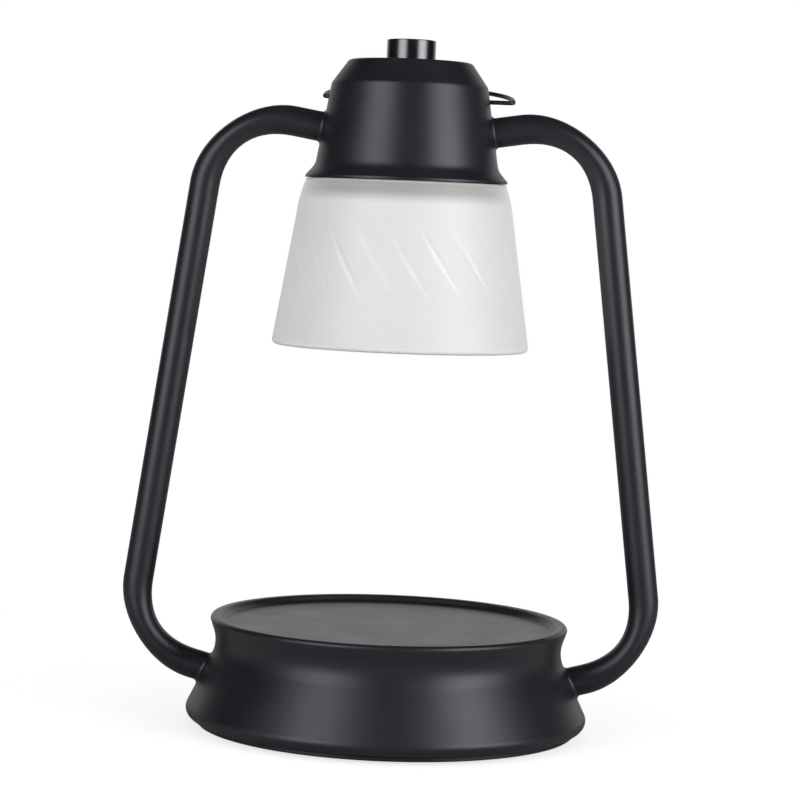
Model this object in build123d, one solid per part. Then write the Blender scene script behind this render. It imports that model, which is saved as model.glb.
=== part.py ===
from build123d import *
import os
from math import atan2, cos, degrees, hypot, pi, radians, sin, tan

# Candle warmer lamp: a round base that a jar candle stands on, two bent tubes that carry a hood over
# it, and under the hood a halogen bulb in a glass shade. A knob on the hood turns the dimmer, and a
# wire bail folds back behind the hood.
# Millimetres. +Z is up, the tubes stand in the XZ plane, the cord inlet and the folded bail are at +Y.
# The origin is the middle of the footprint, on the surface that the lamp stands on.

# ---- fits ----
run_gap = 0.05          # radial, for shafts and pins that turn
seat_gap = 0.05         # radial, for screws, nipples and bushes in their holes
loose_gap = 0.3         # between parts that only pass each other

# ---- base ----
pad_thickness = 1.0
pad_radius = 7.0
pad_circle = 62.0
pad_count = 4
plate_gauge = 2.0
plate_chamfer = 0.4
plate_radius = 77.9
base_wall = 1.2
base_corner_radius = 84.65      # where wall and underside would meet before rounding
base_corner_round = 3.8
base_flange_radius = 70.0       # inner edge of the turned-in underside
neck_radius = 70.0              # where the two straight stretches of the wall would meet
neck_height = 33.5
neck_round = 18.8
rim_radius = 74.0
rim_height = 45.2
rim_round = 2.6
lip_width = 4.6
lip_round = 1.5
dish_depth = 2.6
dish_slope_width = 1.8
dish_round = 2.4
post_count = 3
post_circle = 48.0
post_angle = 30.0               # of the first post, from +X
post_radius = 4.0
plate_screw_radius = 2.0
plate_screw_head_radius = 3.9
plate_screw_length = 12.0

# ---- cord inlet ----
inlet_height = 18.0
inlet_bore_radius = 3.2
inlet_neck_radius = 4.4
inlet_flange_radius = 5.6
inlet_flange_out = 1.6
inlet_flange_in = 1.6

# ---- terminal block ----
block_length = 24.0
block_width = 20.0
block_height = 12.0
block_start = 2.0               # X of its inner end
pole_spacing = 11.0
barrel_radius = 2.3
barrel_bore_radius = 1.3
barrel_inset = 2.0
clamp_screw_radius = 1.2
clamp_screw_inset = 6.0
block_screw_radius = 1.5
block_screw_head_radius = 2.8
block_screw_head_height = 2.0

# ---- tubes ----
tube_radius = 6.1
tube_wall = 1.6
leg_half_span = 88.9            # centre line of the straight leg at leg_span_height
leg_span_height = 171.0
leg_tilt = 7.62                 # from the vertical, wider towards the base
top_bend = 31.3
bottom_bend = 31.6
bend_flattening = 0.95          # taken off the half width in the plane of a bend, at its middle
bend_widening = 0.6             # and added to the half width across it
bend_steps = 10                 # sections that shape a bend
base_run_tilt = 15.0            # of the tube's lower end, from the horizontal
hood_joint_drop = 27.8          # from the hood's top to where the tube's axis meets the wall
base_joint_height = 21.95
base_collar_length = 1.4        # from the wall to the end of the tube, along its axis
hood_collar_length = 1.1
collar_round = 1.5              # of the bead between collar and wall

# ---- nipples, washers and nuts at the tube ends ----
nipple_bore_radius = 3.1
hood_engagement = 8.5           # of a nipple in the tube
base_engagement = 3.5           # shorter, because the tube soon bends there
nipple_tail = 1.0               # thread that shows past the nut
washer_gauge = 1.0
washer_radius = 6.4
saddle_gauge = 2.4
nut_across_flats = 13.0
nut_height = 3.5

# ---- hood ----
hood_wall = 1.2
hood_flange_radius = 41.25
hood_flange_lip = 0.85          # upright edge that the flange ends in
hood_flange_round = 0.4
hood_bottom = 225.3             # height of the flange's edge above the table
hood_height = 48.3
hood_waist_radius = 37.35
hood_waist_rise = 5.3           # from the flange's edge
hood_waist_round = 7.0
hood_shoulder_radius = 31.85
hood_shoulder_round = 3.0
hood_crown_radius = 25.0
hood_crown_rise = 9.7           # from the shoulder to the top
hood_crown_round = 2.3

# ---- strap, lamp holder and shade ring ----
strap_width = 16.0
strap_gauge = 1.5
strap_clearance = 0.7           # between the nuts and the strap above them
ear_gauge = 2.0
ear_drop = 7.0
holder_radius = 15.0
holder_flange_radius = 23.0
holder_flange_height = 3.0
holder_recess = 14.5            # from the skirt's lower end up to the face that the bulb sits on
skirt_radius = 19.2
skirt_bore_radius = 16.5
skirt_length = 14.0
holder_screw_radius = 1.5
holder_screw_head_radius = 2.8
holder_screw_head_height = 2.0
holder_screw_depth = 9.0
holder_screw_spacing = 16.0
screw_end_gap = 1.0             # from a screw's end to the bottom of its hole
gasket_thickness = 1.0
shade_ring_radius = 24.5
shade_ring_height = 4.0

# ---- glass shade ----
glass_wall = 3.2
glass_drop = 0.3                # from the hood's lower edge to the top of the glass
glass_height = 68.0
glass_top_radius = 40.7
glass_neck_flare = 2.4          # by which the neck widens down to the start of the straight wall
glass_neck_height = 7.2
glass_bottom_radius = 52.7
glass_shoulder_round = 1.0
glass_neck_round = 44.0
glass_inner_shoulder_round = 2.4
glass_lip_round = 1.9
glass_inner_round = 0.8
glass_hole_radius = 19.8

# ---- bulb ----
bulb_radius = 25.2
bulb_length = 49.0
bulb_cap_radius = 12.0
bulb_cap_height = 14.0
bulb_cap_chamfer = 1.0
bulb_glass_wall = 1.4
bulb_shoulder_radius = 22.6
bulb_shoulder_rise = 28.0
bulb_shoulder_round = 18.0
lens_gauge = 2.0
lens_recess = 0.6
capsule_radius = 4.5
capsule_length = 26.0
capsule_seat = 4.0
pin_spacing = 10.0
pin_radius = 1.6
pin_head_radius = 2.5
pin_length = 7.0
pin_head_height = 2.5
pin_pocket_radius = 3.1
contact_gauge = 1.0

# ---- dimmer and knob ----
board_length = 44.0
board_width = 30.0
board_gauge = 1.6
pot_radius = 12.0
pot_height = 10.0
bushing_radius = 3.5
bushing_length = 5.2            # above the underside of the hood's top
shaft_radius = 3.0
shaft_floor = 2.0
shaft_flat_depth = 1.5
pot_washer_radius = 6.0
pot_washer_gauge = 0.6
pot_nut_across_flats = 10.0
pot_nut_height = 2.0
knob_radius = 10.0
knob_height = 8.6               # of the knob's top above the hood
knob_lift = 0.4
knob_recess_radius = 7.2
knob_recess_height = 4.2
knob_crown = 1.5
knob_edge_round = 0.5
capacitor_size = (8.0, 12.0, 6.5)
choke_radius = 2.2
choke_height = 6.0
triac_size = (3.0, 9.0, 7.0)

# ---- bail ----
bail_drop = 5.6                 # from the hood's shoulder to the pivot
bail_wire_radius = 0.9
bail_half_width = 38.4
bail_depth = 43.4
bail_pin_reach = 24.0           # from the bail's middle to the inner end of each pin
bail_corner = 1.8
bail_straight = 1.0             # of each arm, between its corner and the bow
bail_bow_share = 0.98           # of the half width that the bow's radius may take
bail_rest_tilt = 9.0
bail_side_shift = 3.9           # the bail has slid this far along its play

# ---- wires ----
core_radius = 1.0
core_gap = 0.1
core_bend = 9.0
core_lead_out = 2.0             # straight length of a core outside the terminal block
core_drop_start = 58.0          # X where the cores leave the line of the tube's end
core_drop_end = 43.0            # X where they are level with the terminal block
core_rise_radius = 17.5         # where the cores climb past the strap to the board
strap_hole_radius = 3.2
lamp_lead_radius = 0.8
lamp_lead_offset = 11.5
lamp_lead_jog = 3.0
lamp_lead_straight = 0.3        # share of the rise that each end of a lead runs straight
lamp_lead_bend = 2.4

# ---- heights that follow ----
plate_bottom = pad_thickness
plate_top = plate_bottom + plate_gauge
dish_height = rim_height - dish_depth
hood_top = hood_bottom + hood_height
hood_waist_height = hood_bottom + hood_waist_rise
hood_shoulder_height = hood_top - hood_crown_rise
hood_joint_height = hood_top - hood_joint_drop
bail_pivot_height = hood_shoulder_height - bail_drop
glass_top = hood_bottom - glass_drop
glass_bottom = glass_top - glass_height
flange_seat = glass_top + gasket_thickness
skirt_bottom = flange_seat - skirt_length
holder_face_height = skirt_bottom + holder_recess
holder_top = hood_joint_height + nut_across_flats / 2 + strap_clearance
strap_bottom = holder_top
strap_top = strap_bottom + strap_gauge
knob_top = hood_top + knob_height
board_bottom = hood_top - hood_wall - pot_height - board_gauge
board_top = board_bottom + board_gauge
bulb_bottom = holder_face_height - bulb_length
cap_bottom = holder_face_height - bulb_cap_height


# ---- outlines in the (radius, height) plane ----
corner_share = 0.48             # of a run between two corners that one of their rounds may take
end_share = 0.95                # of the first and last run, which have a corner at one end only


def direction(p, q):
    """Unit vector from p to q."""
    length = hypot(q[0] - p[0], q[1] - p[1])
    return ((q[0] - p[0]) / length, (q[1] - p[1]) / length)


def turn_at(points, i):
    """Signed angle by which the outline turns at its point i, positive to the left."""
    a = direction(points[i - 1], points[i])
    b = direction(points[i], points[i + 1])
    return atan2(a[0] * b[1] - a[1] * b[0], a[0] * b[0] + a[1] * b[1])


def fitted_rounds(points, rounds):
    """The corner radii, each held to what the runs beside its corner have room for."""
    fitted = []
    for i, wanted in enumerate(rounds, start=1):
        before = hypot(points[i][0] - points[i - 1][0], points[i][1] - points[i - 1][1])
        after = hypot(points[i + 1][0] - points[i][0], points[i + 1][1] - points[i][1])
        before_share = end_share if i == 1 else corner_share
        after_share = end_share if i == len(rounds) else corner_share
        room = min(before_share * before, after_share * after)
        fitted.append(min(wanted, room / max(tan(abs(turn_at(points, i)) / 2), 0.001)))
    return fitted


def inside_of(points, wall):
    """The same outline moved to its left by the wall."""
    moved = []
    for i, point in enumerate(points):
        before = direction(points[max(i - 1, 0)], points[max(i, 1)])
        after = direction(points[min(i, len(points) - 2)], points[min(i + 1, len(points) - 1)])
        normal_sum = (-before[1] - after[1], before[0] + after[0])
        scale = 2 * wall / (normal_sum[0] ** 2 + normal_sum[1] ** 2)
        moved.append((point[0] + normal_sum[0] * scale, point[1] + normal_sum[1] * scale))
    return moved


def inside_rounds(points, rounds, wall):
    """Corner radii of the inside: smaller where the outline turns left, larger where it turns right."""
    return [
        max(r - wall, 0.2) if turn_at(points, i) > 0 else r + wall
        for i, r in enumerate(rounds, start=1)
    ]


def rounded_line(points, rounds):
    return FilletPolyline(*points, radius=fitted_rounds(points, rounds))


def filled(points, rounds):
    """Solid of revolution of all that lies between the axis and an outline that ends on it."""
    line = rounded_line(points, rounds)
    closing = Polyline(points[-1], (0, points[0][1]), points[0])
    return revolve(Plane.XZ * make_face(line.edges() + closing.edges()), Axis.Z)


def skin(points, rounds, wall):
    """Sheet of one thickness turned about the axis, with the outline as its outside."""
    inner = inside_of(points, wall)
    inner_rounds = inside_rounds(points, rounds, wall)
    outside = rounded_line(points, rounds)
    inside = rounded_line(inner, inner_rounds)
    ends = Line(points[0], inner[0]).edges() + Line(points[-1], inner[-1]).edges()
    return revolve(Plane.XZ * make_face(outside.edges() + inside.edges() + ends), Axis.Z)


def radius_on(p, q, height):
    """Radius at a height on the straight line from p to q."""
    return p[0] + (q[0] - p[0]) * (height - p[1]) / (q[1] - p[1])


def meet(p, p_angle, q, q_angle):
    """Point where the line through p at p_angle crosses the line through q at q_angle, in degrees."""
    a = (cos(radians(p_angle)), sin(radians(p_angle)))
    b = (cos(radians(q_angle)), sin(radians(q_angle)))
    along = ((q[0] - p[0]) * b[1] - (q[1] - p[1]) * b[0]) / (a[0] * b[1] - a[1] * b[0])
    return (p[0] + a[0] * along, p[1] + a[1] * along)


# ---- plain solids ----
def rod(radius, low, high):
    return Pos(0, 0, low) * Cylinder(radius, high - low, align=(Align.CENTER, Align.CENTER, Align.MIN))


def ring(outer, inner, low, high):
    return rod(outer, low, high) - rod(inner, low, high)


def block(size, low, centre=(0, 0)):
    middle = (Align.CENTER, Align.CENTER, Align.MIN)
    return Pos(centre[0], centre[1], low) * Box(*size, align=middle)


def hexagon(across_flats, low, high):
    flat = Pos(0, 0, low) * RegularPolygon(across_flats / 2, 6, major_radius=False)
    return extrude(flat, high - low)


def turned(*points):
    return revolve(Plane.XZ * make_face(Polyline(*points, close=True)), Axis.Z)


def both_sides(shape):
    return shape + mirror(shape, about=Plane.YZ)


def wire(path, radius):
    """Round wire along a path of straight runs and tangent arcs."""
    return sweep(Plane(path @ 0, z_dir=path % 0) * Circle(radius), path)


# ---- base and hood forms ----
base_outline = [
    (base_flange_radius, plate_top),
    (base_corner_radius, plate_top),
    (neck_radius, neck_height),
    (rim_radius, rim_height),
    (rim_radius - lip_width, rim_height),
    (rim_radius - lip_width - dish_slope_width, dish_height),
    (0, dish_height),
]
base_rounds = [base_corner_round, neck_round, rim_round, lip_round, dish_round]
base_form = filled(base_outline, base_rounds)
base_cavity = filled(inside_of(base_outline, base_wall), inside_rounds(base_outline, base_rounds, base_wall))

hood_outline = [
    (hood_flange_radius, hood_bottom),
    (hood_flange_radius, hood_bottom + hood_flange_lip),
    (hood_waist_radius, hood_waist_height),
    (hood_shoulder_radius, hood_shoulder_height),
    (hood_crown_radius, hood_top),
    (0, hood_top),
]
hood_rounds = [hood_flange_round, hood_waist_round, hood_shoulder_round, hood_crown_round]
hood_form = filled(hood_outline, hood_rounds)
hood_cavity = filled(inside_of(hood_outline, hood_wall), inside_rounds(hood_outline, hood_rounds, hood_wall))


# ---- where the tubes meet the base and the hood ----
base_wall_tilt = degrees(
    atan2(base_corner_radius - neck_radius, neck_height - plate_top)
)
hood_wall_tilt = degrees(
    atan2(hood_waist_radius - hood_shoulder_radius, hood_shoulder_height - hood_waist_height)
)
base_joint = (radius_on(base_outline[1], base_outline[2], base_joint_height), base_joint_height)
hood_joint = (radius_on(hood_outline[2], hood_outline[3], hood_joint_height), hood_joint_height)
leg_point = (leg_half_span, leg_span_height)
top_corner = meet(hood_joint, hood_wall_tilt, leg_point, leg_tilt - 90)
bottom_corner = meet(base_joint, base_run_tilt, leg_point, leg_tilt - 90)


def joint_plane(point, tilt):
    """Plane on the right-hand wall at a tube joint: local Z points out along the tube, X along +Y."""
    outward = (cos(radians(tilt)), 0, sin(radians(tilt)))
    return Plane((point[0], 0, point[1]), x_dir=(0, 1, 0), z_dir=outward)


base_joint_plane = joint_plane(base_joint, base_run_tilt)
hood_joint_plane = joint_plane(hood_joint, hood_wall_tilt)
nipple_radius = tube_radius - tube_wall - seat_gap
nipple_hole_radius = nipple_radius + seat_gap
base_nipple_depth = base_wall + saddle_gauge + nut_height + nipple_tail
hood_nipple_depth = hood_wall + ear_gauge + washer_gauge + nut_height + nipple_tail


def outward(point, tilt, distance):
    """Point on a tube's axis, this far outside the wall that the tube meets."""
    return (point[0] + distance * cos(radians(tilt)), point[1] + distance * sin(radians(tilt)))


tube_route = [
    outward(hood_joint, hood_wall_tilt, hood_collar_length),
    top_corner,
    bottom_corner,
    outward(base_joint, base_run_tilt, base_collar_length),
]
tube_bends = fitted_rounds(tube_route, [top_bend, bottom_bend])


# ---- base ----
inlet_radius = radius_on(base_outline[1], base_outline[2], inlet_height)
inlet_plane = Plane(
    (0, inlet_radius, inlet_height),
    x_dir=(1, 0, 0),
    z_dir=(0, cos(radians(base_wall_tilt)), sin(radians(base_wall_tilt))),
)
hole_reach = 6 * max(base_wall, hood_wall)


def make_base_shell():
    shell = skin(base_outline, base_rounds, base_wall)
    nipple_hole = base_joint_plane * rod(nipple_hole_radius, -hole_reach, hole_reach)
    inlet_hole = inlet_plane * rod(inlet_neck_radius, -hole_reach, hole_reach)
    return shell - both_sides(nipple_hole) - inlet_hole


def around(count, circle, start=0.0):
    """Places evenly spaced on a circle, the first at the start angle."""
    return PolarLocations(circle, count, start_angle=start)


post_top = dish_height - base_wall


def make_base_posts():
    bore_top = plate_top + plate_screw_length + screw_end_gap
    post = ring(post_radius, plate_screw_radius + seat_gap, plate_top, post_top)
    post += rod(post_radius, bore_top, post_top)
    return Compound([place * post for place in around(post_count, post_circle, post_angle)])


def screw_profile(gap):
    """Countersunk screw with its head flush in the plate, or its hole when gap is more than zero."""
    head = plate_screw_head_radius + gap
    shank = plate_screw_radius + gap
    neck = plate_bottom + plate_screw_head_radius - plate_screw_radius
    end = plate_top + plate_screw_length
    return turned((0, plate_bottom), (head, plate_bottom), (shank, neck), (shank, end), (0, end))


def make_base_plate():
    plate = rod(plate_radius, plate_bottom, plate_top)
    plate = chamfer(plate.edges(), min(plate_chamfer, 0.4 * plate_gauge))
    for place in around(post_count, post_circle, post_angle):
        plate -= place * screw_profile(seat_gap)
    return plate - Pos(block_centre, 0, 0) * rod(block_screw_radius + seat_gap, plate_bottom, plate_top)


def make_plate_screws():
    slot = block((1.6 * plate_screw_head_radius, 0.5 * plate_screw_radius, 0.4 * plate_gauge), plate_bottom)
    screw = screw_profile(0) - slot - Rot(0, 0, 90) * slot
    return Compound([place * screw for place in around(post_count, post_circle, post_angle)])


def make_foot_pads():
    places = around(pad_count, pad_circle, 180 / pad_count)
    return Compound([place * rod(pad_radius, 0, pad_thickness) for place in places])


def make_cord_bush():
    depth = base_wall + inlet_flange_in
    body = inlet_plane * rod(inlet_flange_radius, -depth, inlet_flange_out)
    bore = inlet_plane * rod(inlet_bore_radius, -2 * depth, 2 * inlet_flange_out)
    return body - make_base_shell() - bore


# ---- terminal block ----
block_centre = block_start + block_length / 2
pole_height = plate_top + block_height / 2
pole_places = [(block_centre, side * pole_spacing / 2) for side in (-1, 1)]
barrel_length = block_length - 2 * barrel_inset


def along_x(radius, start, length, y, height):
    return Pos(start, y, height) * Rot(0, 90, 0) * rod(radius, 0, length)


def clamp_places():
    return [
        (x, y)
        for x in (block_start + clamp_screw_inset, block_start + block_length - clamp_screw_inset)
        for _, y in pole_places
    ]


def make_terminal_block():
    body = block((block_length, block_width, block_height), plate_top, (block_centre, 0))
    for _, y in pole_places:
        body -= along_x(barrel_radius, block_start, block_length, y, pole_height)
    well = rod(clamp_screw_radius + loose_gap, pole_height, plate_top + block_height)
    for x, y in clamp_places():
        body -= Pos(x, y, 0) * well
    head_seat = plate_top + block_height - block_screw_head_height
    screw_way = rod(block_screw_radius + seat_gap, plate_top, head_seat)
    screw_way += rod(block_screw_head_radius + seat_gap, head_seat, plate_top + block_height)
    return body - Pos(block_centre, 0, 0) * screw_way


def make_terminal_barrels():
    barrels = []
    for _, y in pole_places:
        start = block_start + barrel_inset
        barrel = along_x(barrel_radius - seat_gap, start, barrel_length, y, pole_height)
        barrel -= along_x(barrel_bore_radius, start, barrel_length, y, pole_height)
        screw_hole = rod(clamp_screw_radius + seat_gap, pole_height, pole_height + barrel_radius)
        for x, screw_y in clamp_places():
            if screw_y == y:
                barrel -= Pos(x, y, 0) * screw_hole
        barrels.append(barrel)
    return Compound(barrels)


def make_clamp_screws():
    low = pole_height + core_radius
    high = plate_top + block_height - clamp_screw_radius
    slot_width = clamp_screw_radius / 2
    slot = block((4 * clamp_screw_radius, slot_width, slot_width), high - slot_width)
    screw = rod(clamp_screw_radius, low, high) - slot
    return Compound([Pos(x, y, 0) * screw for x, y in clamp_places()])


def make_block_screw():
    head_top = plate_top + block_height
    head_seat = head_top - block_screw_head_height
    screw = rod(block_screw_radius, plate_bottom + plate_gauge / 4, head_seat)
    screw += rod(block_screw_head_radius, head_seat, head_top)
    slot_width = block_screw_radius / 2
    slot = block((3 * block_screw_head_radius, slot_width, slot_width), head_top - slot_width)
    return Pos(block_centre, 0, 0) * (screw - slot)


# ---- tubes and their fastenings ----
def tube_along(path, radius):
    """Solid along a path, round on its straight runs and flattened in its bends."""
    run = Part()
    for edge in path.edges():
        if edge.geom_type == GeomType.LINE:
            run += sweep(Plane(edge @ 0, z_dir=edge % 0) * Circle(radius), edge)
            continue
        sections = []
        for step in range(bend_steps + 1):
            along = step / bend_steps
            share = sin(pi * along) ** 2
            section = Ellipse(radius + bend_widening * share, radius - bend_flattening * share)
            sections.append(Plane(edge @ along, x_dir=(0, 1, 0), z_dir=edge % along) * section)
        run += loft(sections)
    return run


def make_tube():
    path = Plane.XZ * FilletPolyline(*tube_route, radius=tube_bends)
    return tube_along(path, tube_radius) - tube_along(path, tube_radius - tube_wall)


def make_collars(form, plane, length):
    """Collar from the wall to the tube's end on each side, with a hollow bead where it meets the wall."""
    reach = 4 * collar_round
    stub = plane * rod(tube_radius, -reach, reach)
    joined = Rot(0, 0, 90) * form + stub
    beads = [
        edge
        for edge in joined.edges()
        if (edge @ 0.25 - plane.origin).length < tube_radius + collar_round
    ]
    collar = fillet(beads, collar_round) - form
    collar -= plane * rod(tube_radius, length, 2 * reach)
    return both_sides(collar - plane * rod(nipple_hole_radius, -reach, 2 * reach))


def make_base_nipples():
    reach = base_collar_length + base_engagement
    nipple = ring(nipple_radius, nipple_bore_radius, -base_nipple_depth, reach)
    return both_sides(base_joint_plane * nipple)


def make_base_saddles():
    depth = base_wall + saddle_gauge
    saddle = base_joint_plane * ring(washer_radius, nipple_hole_radius, -depth, 0)
    return both_sides(saddle & base_cavity)


def nut_from(depth):
    """Hexagon nut on a nipple, its seat this far inside the wall's outer face."""
    nut = hexagon(nut_across_flats, -depth - nut_height, -depth)
    return nut - rod(nipple_hole_radius, -depth - nut_height, -depth)


def make_base_nuts():
    return both_sides(base_joint_plane * nut_from(base_wall + saddle_gauge))


def make_hood_nipples():
    reach = hood_collar_length + hood_engagement
    nipple = ring(nipple_radius, nipple_bore_radius, -hood_nipple_depth, reach)
    return both_sides(hood_joint_plane * nipple)


def make_hood_washers():
    seat = hood_wall + ear_gauge
    washer = ring(washer_radius, nipple_hole_radius, -seat - washer_gauge, -seat)
    return both_sides(hood_joint_plane * washer)


def make_hood_nuts():
    return both_sides(hood_joint_plane * nut_from(hood_wall + ear_gauge + washer_gauge))


# ---- hood ----
def bail_axis_rod(radius):
    reach = hood_flange_radius
    return along_x(radius, -reach, 2 * reach, 0, bail_pivot_height)


def make_hood_shell():
    shell = skin(hood_outline, hood_rounds, hood_wall)
    nipple_hole = hood_joint_plane * rod(nipple_hole_radius, -hole_reach, hole_reach)
    bushing_hole = rod(bushing_radius + seat_gap, hood_top - 2 * hood_wall, hood_top + hood_wall)
    return shell - both_sides(nipple_hole) - bail_axis_rod(bail_wire_radius + run_gap) - bushing_hole


def make_holder_bracket():
    strap = block((2 * hood_waist_radius, strap_width, strap_gauge), strap_bottom)
    ear_rise = (strap_top - hood_joint_height) / cos(radians(hood_wall_tilt))
    ear_size = (strap_width, ear_rise + ear_drop, hood_wall + ear_gauge)
    ear_corner = (Align.CENTER, Align.MIN, Align.MAX)
    ear = hood_joint_plane * Pos(0, -ear_drop, 0) * Box(*ear_size, align=ear_corner)
    below_strap_top = block((4 * hood_flange_radius, 4 * hood_flange_radius, strap_top), 0)
    bracket = ((strap + both_sides(ear)) & hood_cavity) & below_strap_top
    bracket -= both_sides(hood_joint_plane * rod(nipple_hole_radius, -hole_reach, hole_reach))
    for side in (-1, 1):
        screw_hole = rod(holder_screw_radius + seat_gap, strap_bottom, strap_top)
        bracket -= Pos(side * holder_screw_spacing / 2, 0, 0) * screw_hole
    return bracket - Pos(core_rise_radius, 0, 0) * rod(strap_hole_radius, strap_bottom, strap_top)


# ---- lamp holder ----
def pin_places():
    return [Pos(side * pin_spacing / 2, 0, 0) for side in (-1, 1)]


def make_lamp_holder():
    body = turned(
        (0, holder_face_height),
        (skirt_bore_radius, holder_face_height),
        (skirt_bore_radius, skirt_bottom),
        (skirt_radius, skirt_bottom),
        (skirt_radius, flange_seat),
        (holder_flange_radius, flange_seat),
        (holder_flange_radius, flange_seat + holder_flange_height),
        (holder_radius, flange_seat + holder_flange_height),
        (holder_radius, holder_top),
        (0, holder_top),
    )
    pocket_top = holder_face_height + pin_length + contact_gauge
    for place in pin_places():
        body -= place * rod(pin_pocket_radius, holder_face_height, pocket_top)
    for side in (-1, 1):
        screw_hole = rod(holder_screw_radius + seat_gap, holder_top - holder_screw_depth, holder_top)
        body -= Pos(side * holder_screw_spacing / 2, 0, 0) * screw_hole
    return body


def make_holder_screws():
    screws = []
    for side in (-1, 1):
        screw = rod(holder_screw_radius, holder_top - holder_screw_depth + screw_end_gap, strap_top)
        screw += rod(holder_screw_head_radius, strap_top, strap_top + holder_screw_head_height)
        slot_depth = holder_screw_head_height / 2
        slot_low = strap_top + holder_screw_head_height - slot_depth
        screw -= block((3 * holder_screw_head_radius, slot_depth, slot_depth), slot_low)
        screws.append(Pos(side * holder_screw_spacing / 2, 0, 0) * screw)
    return Compound(screws)


def make_holder_contacts():
    low = holder_face_height + pin_length
    contact = rod(pin_pocket_radius - seat_gap, low, low + contact_gauge)
    return Compound([place * contact for place in pin_places()])


def make_shade_gasket():
    return ring(holder_flange_radius, skirt_radius + loose_gap, glass_top, flange_seat)


def make_shade_ring():
    high = glass_top - glass_wall
    low = high - shade_ring_height
    body = ring(shade_ring_radius, skirt_radius + seat_gap, low, high)
    notch = block((shade_ring_height, shade_ring_height / 2, shade_ring_height / 2), low)
    for place in around(12, shade_ring_radius):
        body -= place * notch
    return body


def make_glass_shade():
    knee_height = glass_top - glass_neck_height
    knee_radius = glass_top_radius + glass_neck_flare
    outer = [
        (glass_bottom_radius, glass_bottom),
        (knee_radius, knee_height),
        (glass_top_radius, glass_top),
        (glass_hole_radius, glass_top),
    ]
    inner = inside_of(outer, glass_wall)
    slope = (glass_bottom_radius - knee_radius) / (knee_height - glass_bottom)
    inner[0] = (glass_bottom_radius - glass_wall * hypot(1, slope), glass_bottom)
    outer_rounds = fitted_rounds(outer, [glass_neck_round, glass_shoulder_round])
    inner_rounds = fitted_rounds(inner, [glass_neck_round - glass_wall, glass_inner_shoulder_round])
    lip_rounds = [min(glass_lip_round, 0.6 * glass_wall), min(glass_inner_round, 0.25 * glass_wall)]
    line = FilletPolyline(*outer[::-1], *inner, radius=outer_rounds[::-1] + lip_rounds + inner_rounds)
    rim = Line(inner[-1], outer[-1])
    return revolve(Plane.XZ * make_face(line.edges() + rim.edges()), Axis.Z)


# ---- bulb ----
def make_bulb_reflector():
    outline = [
        (bulb_radius, bulb_bottom),
        (bulb_shoulder_radius, bulb_bottom + bulb_shoulder_rise),
        (bulb_cap_radius, cap_bottom),
        (capsule_radius + loose_gap, cap_bottom),
    ]
    return skin(outline, [bulb_shoulder_round, bulb_glass_wall], bulb_glass_wall)


def make_bulb_lens():
    low = bulb_bottom + lens_recess
    slope = (bulb_radius - bulb_shoulder_radius) / bulb_shoulder_rise
    radius = bulb_radius - bulb_glass_wall * hypot(1, slope) - slope * (lens_recess + lens_gauge) - seat_gap
    return rod(radius, low, low + lens_gauge)


def make_bulb_cap():
    cap = rod(bulb_cap_radius, cap_bottom, holder_face_height)
    cap = chamfer(cap.edges().group_by(Axis.Z)[-1], bulb_cap_chamfer)
    return cap - rod(capsule_radius + seat_gap, cap_bottom, cap_bottom + capsule_seat)


def make_bulb_pins():
    head_low = holder_face_height + pin_length - pin_head_height
    pin = rod(pin_radius, holder_face_height, head_low)
    pin += rod(pin_head_radius, head_low, holder_face_height + pin_length)
    return Compound([place * pin for place in pin_places()])


def make_bulb_capsule():
    high = cap_bottom + capsule_seat
    capsule = rod(capsule_radius, high - capsule_length, high)
    return fillet(capsule.edges().group_by(Axis.Z)[0], 0.9 * capsule_radius)


# ---- dimmer ----
pot_top = hood_top - hood_wall
pot_bottom = pot_top - pot_height
bushing_top = pot_top + bushing_length
knob_bottom = hood_top + knob_lift
recess_top = knob_bottom + knob_recess_height
shaft_top = knob_top - knob_crown


def make_dimmer_body():
    body = rod(pot_radius, pot_bottom, pot_top) + rod(bushing_radius, pot_top, bushing_top)
    return body - rod(shaft_radius + run_gap, pot_bottom + shaft_floor, bushing_top)


def make_dimmer_board():
    return block((board_length, board_width, board_gauge), board_bottom)


def make_board_parts():
    beside = (pot_radius + board_length / 2) / 2
    capacitor = block(capacitor_size, board_top, (-beside, 0))
    triac = block(triac_size, board_top, (beside, 0))
    choke_y = (board_width + triac_size[1]) / 4
    choke = rod(choke_radius, board_top, board_top + choke_height)
    return Compound([capacitor, triac, Pos(beside - pot_radius / 3, choke_y, 0) * choke])


def make_dimmer_washer():
    return ring(pot_washer_radius, bushing_radius + seat_gap, hood_top, hood_top + pot_washer_gauge)


def make_dimmer_nut():
    low = hood_top + pot_washer_gauge
    nut = hexagon(pot_nut_across_flats, low, low + pot_nut_height)
    return nut - rod(bushing_radius + seat_gap, low, low + pot_nut_height)


def shaft_flat(low, high, gap):
    """What the flat takes off a shaft, or off the bore around it when gap is more than zero."""
    depth = shaft_flat_depth
    reach = 2 * shaft_radius
    return Pos(shaft_radius - depth + gap + reach / 2, 0, low) * Box(
        reach, reach, high - low, align=(Align.CENTER, Align.CENTER, Align.MIN)
    )


def make_dimmer_shaft():
    low = pot_bottom + shaft_floor + run_gap
    return rod(shaft_radius, low, shaft_top) - shaft_flat(recess_top, shaft_top, 0)


def make_knob():
    knob = rod(knob_radius, knob_bottom, knob_top)
    knob = fillet(knob.edges().group_by(Axis.Z)[-1], knob_edge_round)
    bore_top = shaft_top + run_gap
    bore = rod(shaft_radius + run_gap, recess_top, bore_top) - shaft_flat(recess_top, bore_top, run_gap)
    return knob - rod(knob_recess_radius, knob_bottom, recess_top) - bore


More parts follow.
